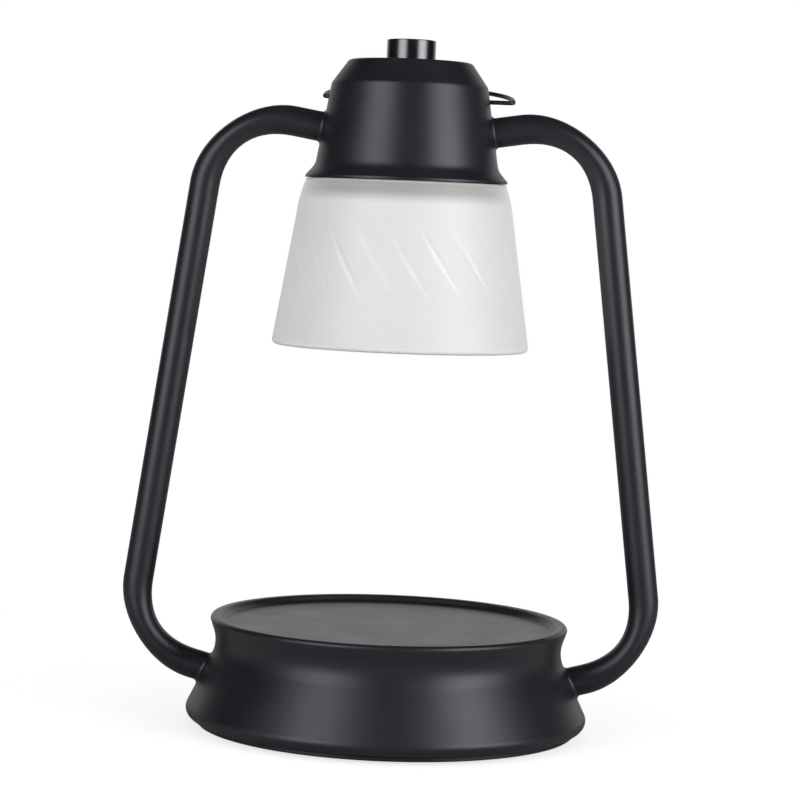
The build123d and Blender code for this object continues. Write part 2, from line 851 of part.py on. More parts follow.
# ---- bail ----
def make_bail():
    big_round = min(bail_bow_share * bail_half_width, bail_depth - bail_corner - bail_straight)
    points = [
        (bail_pin_reach, 0),
        (bail_half_width, 0),
        (bail_half_width, bail_depth),
        (-bail_half_width, bail_depth),
        (-bail_half_width, 0),
        (-bail_pin_reach, 0),
    ]
    path = FilletPolyline(*points, radius=[bail_corner, big_round, big_round, bail_corner])
    place = Pos(bail_side_shift, 0, bail_pivot_height) * Rot(bail_rest_tilt, 0, 0)
    return place * wire(path, bail_wire_radius)


# ---- wires ----
def make_supply_cores():
    """Two cores from the terminal block up the right-hand tube to the dimmer's board."""
    drop_corner = meet(base_joint, base_run_tilt, (core_drop_start, 0), 90)
    rise_corner = meet(hood_joint, hood_wall_tilt, (core_rise_radius, 0), 90)
    block_end = block_start + block_length - barrel_inset
    cores = []
    for side in (-1, 1):
        y = side * (core_radius + core_gap / 2)
        pole_y = side * pole_spacing / 2
        split = (core_drop_end + block_end) / 2
        points = [
            (block_end - clamp_screw_inset, pole_y, pole_height),
            (block_start + block_length + core_lead_out, pole_y, pole_height),
            (split + core_lead_out, y, pole_height),
            (core_drop_end, y, pole_height),
            (drop_corner[0], y, drop_corner[1]),
            (bottom_corner[0], y, bottom_corner[1]),
            (top_corner[0], y, top_corner[1]),
            (rise_corner[0], y, rise_corner[1]),
            (core_rise_radius, y, board_bottom),
        ]
        bends = [core_bend, core_bend, core_bend, core_bend, tube_bends[1], tube_bends[0], core_bend]
        path = FilletPolyline(*points, radius=bends)
        cores.append(wire(path, core_radius))
    return Compound(cores)


def make_lamp_leads():
    straight = lamp_lead_straight * (board_bottom - holder_top)
    points = [
        (0, holder_top),
        (0, holder_top + straight),
        (lamp_lead_jog, board_bottom - straight),
        (lamp_lead_jog, board_bottom),
    ]
    path = Plane.XZ * rounded_line(points, [lamp_lead_bend, lamp_lead_bend])
    lead = wire(path, lamp_lead_radius)
    return Compound([Pos(0, side * lamp_lead_offset, 0) * lead for side in (-1, 1)])


tube_right = make_tube()
nodes = {
    "base_shell": make_base_shell(),
    "base_posts": make_base_posts(),
    "base_plate": make_base_plate(),
    "plate_screws": make_plate_screws(),
    "foot_pads": make_foot_pads(),
    "cord_bush": make_cord_bush(),
    "terminal_block": make_terminal_block(),
    "terminal_barrels": make_terminal_barrels(),
    "clamp_screws": make_clamp_screws(),
    "block_screw": make_block_screw(),
    "tube_right": tube_right,
    "tube_left": mirror(tube_right, about=Plane.YZ),
    "base_collars": make_collars(base_form, base_joint_plane, base_collar_length),
    "hood_collars": make_collars(hood_form, hood_joint_plane, hood_collar_length),
    "base_nipples": make_base_nipples(),
    "base_saddles": make_base_saddles(),
    "base_nuts": make_base_nuts(),
    "hood_nipples": make_hood_nipples(),
    "hood_washers": make_hood_washers(),
    "hood_nuts": make_hood_nuts(),
    "hood_shell": make_hood_shell(),
    "holder_bracket": make_holder_bracket(),
    "lamp_holder": make_lamp_holder(),
    "holder_screws": make_holder_screws(),
    "holder_contacts": make_holder_contacts(),
    "shade_gasket": make_shade_gasket(),
    "shade_ring": make_shade_ring(),
    "glass_shade": make_glass_shade(),
    "bulb_reflector": make_bulb_reflector(),
    "bulb_lens": make_bulb_lens(),
    "bulb_cap": make_bulb_cap(),
    "bulb_pins": make_bulb_pins(),
    "bulb_capsule": make_bulb_capsule(),
    "dimmer_body": make_dimmer_body(),
    "dimmer_board": make_dimmer_board(),
    "board_parts": make_board_parts(),
    "dimmer_washer": make_dimmer_washer(),
    "dimmer_nut": make_dimmer_nut(),
    "dimmer_shaft": make_dimmer_shaft(),
    "knob": make_knob(),
    "bail": make_bail(),
    "supply_cores": make_supply_cores(),
    "lamp_leads": make_lamp_leads(),
}

os.makedirs("parts", exist_ok=True)
for name, shape in nodes.items():
    export_step(shape, f"parts/{name}.step")
print(len(nodes), "nodes written")
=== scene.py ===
from math import atan2, cos, degrees, hypot, pi, radians, sin, tan

import bmesh
import bpy
from mathutils import Matrix, Vector


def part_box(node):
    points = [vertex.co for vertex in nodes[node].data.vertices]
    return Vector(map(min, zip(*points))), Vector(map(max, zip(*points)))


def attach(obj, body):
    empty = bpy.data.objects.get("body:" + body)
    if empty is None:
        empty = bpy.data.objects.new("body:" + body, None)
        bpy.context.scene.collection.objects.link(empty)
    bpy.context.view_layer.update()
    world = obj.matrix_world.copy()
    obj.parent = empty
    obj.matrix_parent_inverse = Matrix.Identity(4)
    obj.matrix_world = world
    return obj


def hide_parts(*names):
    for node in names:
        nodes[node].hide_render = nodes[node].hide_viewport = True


# Candle warmer lamp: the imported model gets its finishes, and the glass shade is spun again with its flutes.
# Metres, +Z up, the camera side is -Y. Sizes in the dictionaries are millimetres.

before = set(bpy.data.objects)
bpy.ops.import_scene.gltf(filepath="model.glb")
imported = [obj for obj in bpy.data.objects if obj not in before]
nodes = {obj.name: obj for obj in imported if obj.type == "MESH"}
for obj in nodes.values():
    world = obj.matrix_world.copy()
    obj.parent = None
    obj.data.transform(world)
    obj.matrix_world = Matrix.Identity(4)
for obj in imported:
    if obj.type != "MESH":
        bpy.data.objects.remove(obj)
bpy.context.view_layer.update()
mm = 0.001
scene = bpy.context.scene
print("frame loaded,", len(nodes), "nodes")

noiseSpan = {"From Min": 0.3, "From Max": 0.7}      # where most of a noise texture's values lie


def linearColour(hexText, alpha=1.0):
    channels = [int(hexText[i:i + 2], 16) / 255 for i in (1, 3, 5)]
    return (*[c / 12.92 if c <= 0.04045 else ((c + 0.055) / 1.055) ** 2.4 for c in channels], alpha)


def addNode(tree, kind, settings=None, sockets=None):
    # settings are the node's own fields, sockets take a value or another node's output
    node = tree.nodes.new("ShaderNode" + kind)
    for field, value in (settings or {}).items():
        setattr(node, field, value)
    for socket, value in (sockets or {}).items():
        if isinstance(value, bpy.types.NodeSocket):
            tree.links.new(value, node.inputs[socket])
        else:
            node.inputs[socket].default_value = value
    return node


def startMaterial(name):
    # returns the material, its tree and the object coordinates in metres
    material = bpy.data.materials.new(name)
    material.use_nodes = True
    tree = material.node_tree
    tree.nodes.clear()
    place = addNode(tree, "TexCoord").outputs["Object"]
    return material, tree, place


def finishMaterial(tree, shader):
    addNode(tree, "OutputMaterial", None, {"Surface": shader.outputs[0]})


def dress(material, *names):
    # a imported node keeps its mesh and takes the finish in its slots
    for name in names:
        for slot in nodes[name].material_slots:
            slot.material = material


# camera
view = {
    "eye": (-0.05, -1139.0, 212.5),     # before the turn around the lamp
    "around": 1.21,                 # degrees, towards +X
    "pitch": 3.863,                 # downwards
    "yaw": 0.049,
    "roll": 2.245,                  # the lamp leans to the right in the view
    "lens": 125.32,
    "sensor": 36.0,
    "near": 50,
    "far": 50000,
}


def makeCamera():
    pitch, yaw, roll = (radians(view[k]) for k in ("pitch", "yaw", "roll"))
    forward = Vector((sin(yaw) * cos(pitch), cos(yaw) * cos(pitch), -sin(pitch)))
    right = Vector((cos(yaw), -sin(yaw), 0))
    up = right.cross(forward)
    rolledRight = cos(roll) * right + sin(roll) * up
    rolledUp = cos(roll) * up - sin(roll) * right
    place = Matrix((rolledRight, rolledUp, -forward)).transposed().to_4x4()
    place.translation = Vector(view["eye"]) * mm
    data = bpy.data.cameras.new("camera")
    data.lens = view["lens"]
    data.sensor_width = view["sensor"]
    data.clip_start = view["near"] * mm
    data.clip_end = view["far"] * mm
    camera = bpy.data.objects.new("camera", data)
    scene.collection.objects.link(camera)
    camera.matrix_world = Matrix.Rotation(radians(view["around"]), 4, "Z") @ place
    scene.camera = camera


makeCamera()
scene.view_settings.view_transform = "Standard"
print("camera placed")


# studio
studio = {
    "leftBox": {"azimuth": -41, "span": 46, "low": -60, "high": 1230, "radiance": 2.05},
    "rightBox": {"azimuth": 55, "span": 48, "low": -60, "high": 1230, "radiance": 2.6},
    "hotMiddle": 1.5,               # of a box's radiance, in the middle of its cloth
    "coolEdge": 0.3,                # and at its upright edges
    "distance": 1200,
    "floorHalf": 6000,
    "floorColour": "#9c9c9a",
    "floorFibre": "#979795",
    "fibre": 2.5,                   # size of the paper's fibre clouds
    "floorLift": 0.74,              # added for the camera, so that the unshaded paper is white
    "shadowEnds": (120, 340),       # from the lamp's axis, where the shadow fades into plain white
    "ambient": 0.62,                # of the world on what isn't seen directly
    "mirrored": (0.92, 0.865, 0.87),        # linear, the white backdrop that gloss shows, a little warm
    "mirroredFront": (0.03, 0.03, 0.036),   # the dark room round and behind the camera
    "mirroredTop": (0.12, 0.12, 0.13),      # its dim ceiling
    "backdropSides": (0.5, 0.95),   # how far +Y a mirrored direction points, from none of the backdrop to all
    "backdropTop": (0.35, 0.65),    # how far up it points, from all of the backdrop to none
    "ceilingEdge": (0.8, 0.93),     # how far up it points, from none of the ceiling to all
}


def makeSoftbox(name, box):
    # a soft box stands upright on a circle round the lamp, its azimuth counted from the camera side
    reach = studio["distance"] * mm
    width = 2 * reach * tan(radians(box["span"] / 2))
    height = (box["high"] - box["low"]) * mm
    data = bpy.data.lights.new(name, "AREA")
    data.shape = "RECTANGLE"
    data.size = width
    data.size_y = height
    data.energy = box["radiance"] * pi * width * height
    data.use_nodes = True
    tree = data.node_tree
    tree.nodes.clear()
    cloth = addNode(tree, "NewGeometry").outputs["Parametric"]
    across = addNode(tree, "SeparateXYZ", None, {0: cloth}).outputs["X"]
    side = addNode(tree, "MapRange", None, {"Value": across, "To Min": -1.0, "To Max": 1.0})
    square = addNode(tree, "Math", {"operation": "MULTIPLY"}, {0: side.outputs[0], 1: side.outputs[0]})
    glow = addNode(tree, "MapRange", None, {
        "Value": square.outputs[0], "To Min": studio["hotMiddle"], "To Max": studio["coolEdge"],
    })
    lamp = addNode(tree, "Emission", None, {"Strength": glow.outputs["Result"]})
    addNode(tree, "OutputLight", None, {"Surface": lamp.outputs[0]})
    light = bpy.data.objects.new(name, data)
    scene.collection.objects.link(light)
    azimuth = radians(box["azimuth"])
    middle = (box["high"] + box["low"]) / 2 * mm
    light.location = (reach * sin(azimuth), -reach * cos(azimuth), middle)
    light.rotation_euler = (pi / 2, 0, azimuth)


def makeFloor():
    # seamless white paper: the camera sees it near white, and it still takes the lamp's shadow
    bm = bmesh.new()
    bmesh.ops.create_grid(bm, x_segments=1, y_segments=1, size=studio["floorHalf"] * mm)
    mesh = bpy.data.meshes.new("floor")
    bm.to_mesh(mesh)
    bm.free()
    floor = bpy.data.objects.new("floor", mesh)
    scene.collection.objects.link(floor)
    material, tree, place = startMaterial("studioPaper")
    fibre = addNode(tree, "TexNoise", None, {
        "Vector": place, "Scale": 1 / (studio["fibre"] * mm), "Detail": 3.0,
    })
    colour = addNode(tree, "MixRGB", None, {
        "Fac": fibre.outputs["Fac"],
        "Color1": linearColour(studio["floorColour"]),
        "Color2": linearColour(studio["floorFibre"]),
    })
    paper = addNode(tree, "BsdfDiffuse", None, {"Color": colour.outputs[0]})
    path = addNode(tree, "LightPath")
    lift = addNode(tree, "Math", {"operation": "MULTIPLY"}, {
        0: path.outputs["Is Camera Ray"], 1: studio["floorLift"],
    })
    glow = addNode(tree, "Emission", None, {"Color": (1, 1, 1, 1), "Strength": lift.outputs[0]})
    near = addNode(tree, "AddShader", None, {0: paper.outputs[0], 1: glow.outputs[0]})
    white = addNode(tree, "Emission", None, {"Color": (1, 1, 1, 1), "Strength": 1.0})
    distance = addNode(tree, "VectorMath", {"operation": "LENGTH"}, {0: place})
    shadowed, plain = studio["shadowEnds"]
    fade = addNode(tree, "MapRange", {"interpolation_type": "SMOOTHSTEP"}, {
        "Value": distance.outputs["Value"], "From Min": shadowed * mm, "From Max": plain * mm,
    })
    share = addNode(tree, "Math", {"operation": "MULTIPLY"}, {
        0: path.outputs["Is Camera Ray"], 1: fade.outputs["Result"],
    })
    mixed = addNode(tree, "MixShader", None, {
        0: share.outputs[0], 1: near.outputs[0], 2: white.outputs[0],
    })
    finishMaterial(tree, mixed)
    mesh.materials.append(material)


def makeWorld():
    # white to look at; gloss shows a white backdrop behind the lamp and a dark room with a dim ceiling
    world = bpy.data.worlds.new("studio")
    world.use_nodes = True
    tree = world.node_tree
    tree.nodes.clear()
    direction = addNode(tree, "TexCoord").outputs["Generated"]
    parts = addNode(tree, "SeparateXYZ", None, {0: direction})
    masks = []
    for axis, span, start, end in (
        ("Y", studio["backdropSides"], 0, 1),
        ("Z", studio["backdropTop"], 1, 0),
        ("Z", studio["ceilingEdge"], 0, 1),
    ):
        mask = addNode(tree, "MapRange", {"interpolation_type": "SMOOTHSTEP"}, {
            "Value": parts.outputs[axis], "From Min": span[0], "From Max": span[1],
            "To Min": start, "To Max": end,
        })
        masks.append(mask.outputs["Result"])
    behind, low, overhead = masks
    backdrop = addNode(tree, "Math", {"operation": "MULTIPLY"}, {0: behind, 1: low})
    room = addNode(tree, "MixRGB", None, {
        "Fac": overhead,
        "Color1": (*studio["mirroredFront"], 1),
        "Color2": (*studio["mirroredTop"], 1),
    })
    mirrored = addNode(tree, "MixRGB", None, {
        "Fac": backdrop.outputs[0], "Color1": room.outputs[0], "Color2": (*studio["mirrored"], 1),
    })
    path = addNode(tree, "LightPath")
    seen = addNode(tree, "Math", {"operation": "MAXIMUM"}, {
        0: path.outputs["Is Camera Ray"], 1: path.outputs["Is Transmission Ray"],
    })
    indirect = addNode(tree, "MixRGB", None, {
        "Fac": path.outputs["Is Glossy Ray"],
        "Color1": (studio["ambient"],) * 3 + (1,),
        "Color2": mirrored.outputs[0],
    })
    colour = addNode(tree, "MixRGB", None, {
        "Fac": seen.outputs[0], "Color1": indirect.outputs[0], "Color2": (1, 1, 1, 1),
    })
    shine = addNode(tree, "Background", None, {"Color": colour.outputs[0], "Strength": 1.0})
    addNode(tree, "OutputWorld", None, {"Surface": shine.outputs[0]})
    scene.world = world


makeSoftbox("leftSoftbox", studio["leftBox"])
makeSoftbox("rightSoftbox", studio["rightBox"])
makeFloor()
makeWorld()
print("studio lit")


# powder coat
powder = {
    "colour": "#0a0c11",
    "thin": "#111419",              # where the coat is a little thinner
    "cloud": 22,
    "roughness": (0.38, 0.43),
    "ior": 1.62,
    "sheen": "#f3f6ff",             # the coat's gloss is a shade cooler than the light on it
    "peel": 0.9,                    # grain of the orange peel
    "peelDepth": 0.012,
    "ringPitch": 1.6,               # of the spinning tool's track under the coat
    "ringDepth": 0.010,
}


def powderCoat(name, spun):
    # satin polyester powder coat, sprayed and baked: deep blue-black, softly blurred highlights with a
    # fine orange peel, and on the spun steel faint rings left by the spinning roller
    material, tree, place = startMaterial(name)
    cloud = addNode(tree, "TexNoise", None, {
        "Vector": place, "Scale": 1 / (powder["cloud"] * mm), "Detail": 4.0,
    })
    colour = addNode(tree, "MixRGB", None, {
        "Fac": cloud.outputs["Fac"],
        "Color1": linearColour(powder["colour"]),
        "Color2": linearColour(powder["thin"]),
    })
    peel = addNode(tree, "TexNoise", None, {
        "Vector": place, "Scale": 1 / (powder["peel"] * mm), "Detail": 1.5, "Roughness": 0.45,
    })
    roughness = addNode(tree, "MapRange", None, {
        **noiseSpan, "Value": cloud.outputs["Fac"],
        "To Min": powder["roughness"][0], "To Max": powder["roughness"][1],
    })
    bump = addNode(tree, "Bump", None, {
        "Strength": 1.0, "Distance": powder["peelDepth"] * mm, "Height": peel.outputs["Fac"],
    })
    if spun:
        parts = addNode(tree, "SeparateXYZ", None, {0: place})
        flat = addNode(tree, "CombineXYZ", None, {"X": parts.outputs["X"], "Y": parts.outputs["Y"]})
        radius = addNode(tree, "VectorMath", {"operation": "LENGTH"}, {0: flat.outputs[0]})
        track = addNode(tree, "Math", {"operation": "ADD"}, {
            0: radius.outputs["Value"], 1: parts.outputs["Z"],
        })
        rings = addNode(tree, "TexNoise", {"noise_dimensions": "1D"}, {
            "W": track.outputs[0], "Scale": 1 / (powder["ringPitch"] * mm), "Detail": 2.0,
        })
        bump = addNode(tree, "Bump", None, {
            "Strength": 1.0, "Distance": powder["ringDepth"] * mm, "Height": rings.outputs["Fac"],
            "Normal": bump.outputs["Normal"],
        })
    shader = addNode(tree, "BsdfPrincipled", None, {
        "Base Color": colour.outputs[0], "Roughness": roughness.outputs["Result"], "IOR": powder["ior"],
        "Specular Tint": linearColour(powder["sheen"]), "Normal": bump.outputs["Normal"],
    })
    finishMaterial(tree, shader)
    return material


dress(powderCoat("powderCoatOnSpunSteel", True), "base_shell", "hood_shell", "base_plate")
dress(powderCoat("powderCoatOnTube", False),
      "tube_right", "tube_left", "base_collars", "hood_collars", "bail")
print("powder coat done")


# knob
knobFinish = {
    "colour": "#6c6d71",
    "hazed": "#66676a",
    "haze": 5,                      # size of its clouds
    "roughness": (0.16, 0.23),
    "marks": 0.35,                  # width of the turning marks, coarser than real ones, so that they show
    "marksDepth": 0.0006,
}


def blackNickel():
    # turned brass under black nickel plate: a dark mirror with faint turning marks round it
    material, tree, place = startMaterial("blackNickelPlate")
    parts = addNode(tree, "SeparateXYZ", None, {0: place})
    flat = addNode(tree, "CombineXYZ", None, {"X": parts.outputs["X"], "Y": parts.outputs["Y"]})
    radius = addNode(tree, "VectorMath", {"operation": "LENGTH"}, {0: flat.outputs[0]})
    track = addNode(tree, "Math", {"operation": "ADD"}, {0: radius.outputs["Value"], 1: parts.outputs["Z"]})
    marks = addNode(tree, "TexNoise", {"noise_dimensions": "1D"}, {
        "W": track.outputs[0], "Scale": 1 / (knobFinish["marks"] * mm), "Detail": 2.0,
    })
    haze = addNode(tree, "TexNoise", None, {
        "Vector": place, "Scale": 1 / (knobFinish["haze"] * mm), "Detail": 3.0,
    })
    roughness = addNode(tree, "MapRange", None, {
        **noiseSpan, "Value": haze.outputs["Fac"],
        "To Min": knobFinish["roughness"][0], "To Max": knobFinish["roughness"][1],
    })
    colour = addNode(tree, "MixRGB", None, {
        "Fac": haze.outputs["Fac"],
        "Color1": linearColour(knobFinish["colour"]),
        "Color2": linearColour(knobFinish["hazed"]),
    })
    bump = addNode(tree, "Bump", None, {
        "Strength": 1.0, "Distance": knobFinish["marksDepth"] * mm, "Height": marks.outputs["Fac"],
    })
    shader = addNode(tree, "BsdfPrincipled", None, {
        "Base Color": colour.outputs[0], "Roughness": roughness.outputs["Result"],
        "Metallic": 1.0, "Normal": bump.outputs["Normal"],
    })
    finishMaterial(tree, shader)
    return material


dress(blackNickel(), "knob")
print("knob done")


# bare and plated metals
metals = {
    # zinc plate with a clear passivate: cool grey with a faint warm tint in patches
    "zincPlatedSteel": {
        "light": "#b7babf", "dark": "#a6a49c", "roughness": (0.28, 0.42),
        "grain": 0.8, "stretch": (1, 1, 1), "depth": 0.004,
        "pieces": (
            "plate_screws", "clamp_screws", "block_screw", "base_nipples", "base_saddles", "base_nuts",
            "hood_nipples", "hood_washers", "hood_nuts", "holder_screws", "dimmer_washer", "dimmer_nut",
            "bulb_pins", "base_posts",
        ),
    },
    # rolled sheet keeps the mill's long marks under the zinc
    "zincPlatedSheet": {
        "light": "#b2b5ba", "dark": "#9d9c97", "roughness": (0.32, 0.46),
        "grain": 0.9, "stretch": (0.06, 1, 1), "depth": 0.004,
        "pieces": ("holder_bracket",),
    },
    # bare brass from the lathe: warm yellow with the cutter's marks across it
    "turnedBrass": {
        "light": "#c9a45c", "dark": "#b08a45", "roughness": (0.24, 0.38),
        "grain": 0.4, "stretch": (1, 1, 6), "depth": 0.003,
        "pieces": ("terminal_barrels", "holder_contacts"),
    },
    # bare aluminium from the lathe: pale and even, its marks finer than the brass's
    "turnedAluminium": {
        "light": "#c6c8ca", "dark": "#b2b4b7", "roughness": (0.22, 0.36),
        "grain": 0.35, "stretch": (1, 1, 8), "depth": 0.003,
        "pieces": ("dimmer_shaft",),
    },
}
metalCloud = 9                      # size of the clouds of tone


def metal(name, finish):
    # colour clouds between two tones, and fine marks of the given grain, drawn out where the stretch is
    # below 1 and packed closer where it is above
    material, tree, place = startMaterial(name)
    cloud = addNode(tree, "TexNoise", None, {
        "Vector": place, "Scale": 1 / (metalCloud * mm), "Detail": 4.0,
    })
    colour = addNode(tree, "MixRGB", None, {
        "Fac": cloud.outputs["Fac"],
        "Color1": linearColour(finish["light"]),
        "Color2": linearColour(finish["dark"]),
    })
    drawn = addNode(tree, "Mapping", None, {"Vector": place, "Scale": finish["stretch"]})
    marks = addNode(tree, "TexNoise", None, {
        "Vector": drawn.outputs[0], "Scale": 1 / (finish["grain"] * mm), "Detail": 3.0,
    })
    gloss = addNode(tree, "MapRange", None, {
        **noiseSpan, "Value": marks.outputs["Fac"],
        "To Min": finish["roughness"][0], "To Max": finish["roughness"][1],
    })
    bump = addNode(tree, "Bump", None, {
        "Strength": 1.0, "Distance": finish["depth"] * mm, "Height": marks.outputs["Fac"],
    })
    shader = addNode(tree, "BsdfPrincipled", None, {
        "Base Color": colour.outputs[0], "Metallic": 1.0, "Roughness": gloss.outputs["Result"],
        "Normal": bump.outputs["Normal"],
    })
    finishMaterial(tree, shader)
    return material


for name, finish in metals.items():
    dress(metal(name, finish), *finish["pieces"])
print("metals done")


# moulded and fired pieces
mouldings = {
    # matt black rubber with the mould's spark-eroded grain
    "mouldedRubber": {
        "light": "#1e1e1f", "dark": "#262627", "roughness": (0.67, 0.77), "ior": 1.52,
        "grain": 0.6, "depth": 0.03, "scatter": 0,
        "pieces": ("foot_pads", "cord_bush"),
    },
    # silicone sheet, punched: milky and a little soft to look at
    "punchedSilicone": {
        "light": "#e3e2dc", "dark": "#d8d6cf", "roughness": (0.45, 0.55), "ior": 1.43,
        "grain": 0.8, "depth": 0.01, "scatter": 0.3,
        "pieces": ("shade_gasket",),
    },
    # natural nylon moulding, waxy cream
    "mouldedNylon": {
        "light": "#e6e0cd", "dark": "#dcd4bd", "roughness": (0.37, 0.47), "ior": 1.53,
        "grain": 0.7, "depth": 0.01, "scatter": 0.2,
        "pieces": ("terminal_block",),
    },
    # steatite pressed and fired, unglazed: chalky white with fine pores
    "firedSteatite": {
        "light": "#e9e5da", "dark": "#dcd7ca", "roughness": (0.5, 0.6), "ior": 1.55,
        "grain": 0.5, "depth": 0.03, "scatter": 0,
        "pieces": ("lamp_holder", "bulb_cap"),
    },
    # black phenolic straight from the mould, with a dull shine
    "mouldedPhenolic": {
        "light": "#1d1c1b", "dark": "#272523", "roughness": (0.37, 0.47), "ior": 1.6,
        "grain": 0.5, "depth": 0.01, "scatter": 0,
        "pieces": ("shade_ring", "dimmer_body"),
    },
    # brown phenolic paper, pressed in sheets, mottled by its resin
    "phenolicPaper": {
        "light": "#8c6233", "dark": "#76502a", "roughness": (0.43, 0.53), "ior": 1.55,
        "grain": 0.4, "depth": 0.01, "scatter": 0,
        "pieces": ("dimmer_board",),
    },
    # epoxy-cased components, blue-black and fairly glossy
    "castEpoxy": {
        "light": "#20242f", "dark": "#2b3040", "roughness": (0.27, 0.37), "ior": 1.55,
        "grain": 0.6, "depth": 0.01, "scatter": 0,
        "pieces": ("board_parts",),
    },
    # extruded PVC over the copper cores, smooth and satin
    "extrudedPvc": {
        "light": "#262627", "dark": "#303031", "roughness": (0.4, 0.5), "ior": 1.53,
        "grain": 0.9, "depth": 0.01, "scatter": 0,
        "pieces": ("supply_cores",),
    },
}
mouldingCloud = 6                   # size of the clouds of tone
mouldingScatterDepth = 1            # how deep light goes into the pale ones


def moulding(name, finish):
    # two close tones in clouds, and a fine grain from the mould or the kiln
    material, tree, place = startMaterial(name)
    cloud = addNode(tree, "TexNoise", None, {
        "Vector": place, "Scale": 1 / (mouldingCloud * mm), "Detail": 5.0,
    })
    colour = addNode(tree, "MixRGB", None, {
        "Fac": cloud.outputs["Fac"],
        "Color1": linearColour(finish["light"]),
        "Color2": linearColour(finish["dark"]),
    })
    skin = addNode(tree, "TexNoise", None, {
        "Vector": place, "Scale": 1 / (finish["grain"] * mm), "Detail": 2.0,
    })
    gloss = addNode(tree, "MapRange", None, {
        **noiseSpan, "Value": cloud.outputs["Fac"],
        "To Min": finish["roughness"][0], "To Max": finish["roughness"][1],
    })
    bump = addNode(tree, "Bump", None, {
        "Strength": 1.0, "Distance": finish["depth"] * mm, "Height": skin.outputs["Fac"],
    })
    shader = addNode(tree, "BsdfPrincipled", None, {
        "Base Color": colour.outputs[0], "Roughness": gloss.outputs["Result"], "IOR": finish["ior"],
        "Normal": bump.outputs["Normal"], "Subsurface Weight": finish["scatter"],
        "Subsurface Scale": mouldingScatterDepth * mm,
    })
    finishMaterial(tree, shader)
    return material


for name, finish in mouldings.items():
    dress(moulding(name, finish), *finish["pieces"])
print("mouldings done")


# lamp leads
sleeve = {
    "paintedGrooveShade": "#b5b0a2",
    "rib": "#dedacd",
    "wave": 3.2,                    # sets the braid's ribs about 1 mm apart
    "waver": 0.4,
    "lay": 45,                      # degrees from the lead's run
    "depth": 0.06,
    "roughness": 0.8,
}


def wovenSleeve():
    # glass-fibre sleeving, braided: off-white with the fine cross ribs of the braid, and painted shade in the
    # grooves between them
    material, tree, place = startMaterial("braidedGlassSleeve")
    ribs = []
    for tilt in (-sleeve["lay"], sleeve["lay"]):
        turned = addNode(tree, "Mapping", None, {"Vector": place, "Rotation": (0, radians(tilt), 0)})
        ribs.append(addNode(tree, "TexWave", {"bands_direction": "Z"}, {
            "Vector": turned.outputs[0], "Scale": 1 / (sleeve["wave"] * mm), "Distortion": sleeve["waver"],
        }).outputs["Fac"])
    braid = addNode(tree, "Math", {"operation": "MULTIPLY"}, {0: ribs[0], 1: ribs[1]})
    # the grooves between the ribs darker: painted shade
    colour = addNode(tree, "MixRGB", None, {
        "Fac": braid.outputs[0],
        "Color1": linearColour(sleeve["paintedGrooveShade"]),
        "Color2": linearColour(sleeve["rib"]),
    })
    bump = addNode(tree, "Bump", None, {
        "Strength": 1.0, "Distance": sleeve["depth"] * mm, "Height": braid.outputs[0],
    })
    shader = addNode(tree, "BsdfPrincipled", None, {
        "Base Color": colour.outputs[0], "Roughness": sleeve["roughness"], "Normal": bump.outputs["Normal"],
    })
    finishMaterial(tree, shader)
    return material


dress(wovenSleeve(), "lamp_leads")
print("lamp leads done")


# bulb
bulbReflector = {
    "colour": "#d9dadb",
    "hazed": "#cfcdc8",
    "haze": 4,                      # size of its clouds
    "roughness": (0.10, 0.18),
    "facet": 2.6,
    "facetDepth": 0.18,
    "facetUneven": 0.35,
}
bulbLens = {
    "colour": "#f4f8f6",
    "clear": "#fbfdfc",
    "ripple": 7,
    "rippleDepth": 0.02,
    "roughness": (0.02, 0.06),
    "ior": 1.5,
}


def aluminisedGlass():
    # pressed glass with a bright vapour coat: a mirror broken into small facets
    material, tree, place = startMaterial("aluminisedGlass")
    facets = addNode(tree, "TexVoronoi", {"feature": "F1"}, {
        "Vector": place, "Scale": 1 / (bulbReflector["facet"] * mm),
        "Randomness": bulbReflector["facetUneven"],
    })
    haze = addNode(tree, "TexNoise", None, {
        "Vector": place, "Scale": 1 / (bulbReflector["haze"] * mm), "Detail": 3.0,
    })
    colour = addNode(tree, "MixRGB", None, {
        "Fac": haze.outputs["Fac"],
        "Color1": linearColour(bulbReflector["colour"]),
        "Color2": linearColour(bulbReflector["hazed"]),
    })
    gloss = addNode(tree, "MapRange", None, {
        **noiseSpan, "Value": haze.outputs["Fac"],
        "To Min": bulbReflector["roughness"][0], "To Max": bulbReflector["roughness"][1],
    })
    bump = addNode(tree, "Bump", None, {
        "Strength": 1.0, "Distance": bulbReflector["facetDepth"] * mm, "Height": facets.outputs["Distance"],
    })
    shader = addNode(tree, "BsdfPrincipled", None, {
        "Base Color": colour.outputs[0], "Metallic": 1.0, "Roughness": gloss.outputs["Result"],
        "Normal": bump.outputs["Normal"],
    })
    finishMaterial(tree, shader)
    return material


def clearGlass():
    # pressed clear glass: water-clear with slow ripples that bend what is behind it
    material, tree, place = startMaterial("pressedClearGlass")
    ripple = addNode(tree, "TexNoise", None, {
        "Vector": place, "Scale": 1 / (bulbLens["ripple"] * mm), "Detail": 1.0,
    })
    tint = addNode(tree, "MixRGB", None, {
        "Fac": ripple.outputs["Fac"],
        "Color1": linearColour(bulbLens["colour"]),
        "Color2": linearColour(bulbLens["clear"]),
    })
    gloss = addNode(tree, "MapRange", None, {
        **noiseSpan, "Value": ripple.outputs["Fac"],
        "To Min": bulbLens["roughness"][0], "To Max": bulbLens["roughness"][1],
    })
    bump = addNode(tree, "Bump", None, {
        "Strength": 1.0, "Distance": bulbLens["rippleDepth"] * mm, "Height": ripple.outputs["Fac"],
    })
    shader = addNode(tree, "BsdfPrincipled", None, {
        "Base Color": tint.outputs[0], "Roughness": gloss.outputs["Result"], "IOR": bulbLens["ior"],
        "Transmission Weight": 1.0, "Normal": bump.outputs["Normal"],
    })
    finishMaterial(tree, shader)
    return material


dress(aluminisedGlass(), "bulb_reflector")
dress(clearGlass(), "bulb_lens", "bulb_capsule")
print("bulb done")


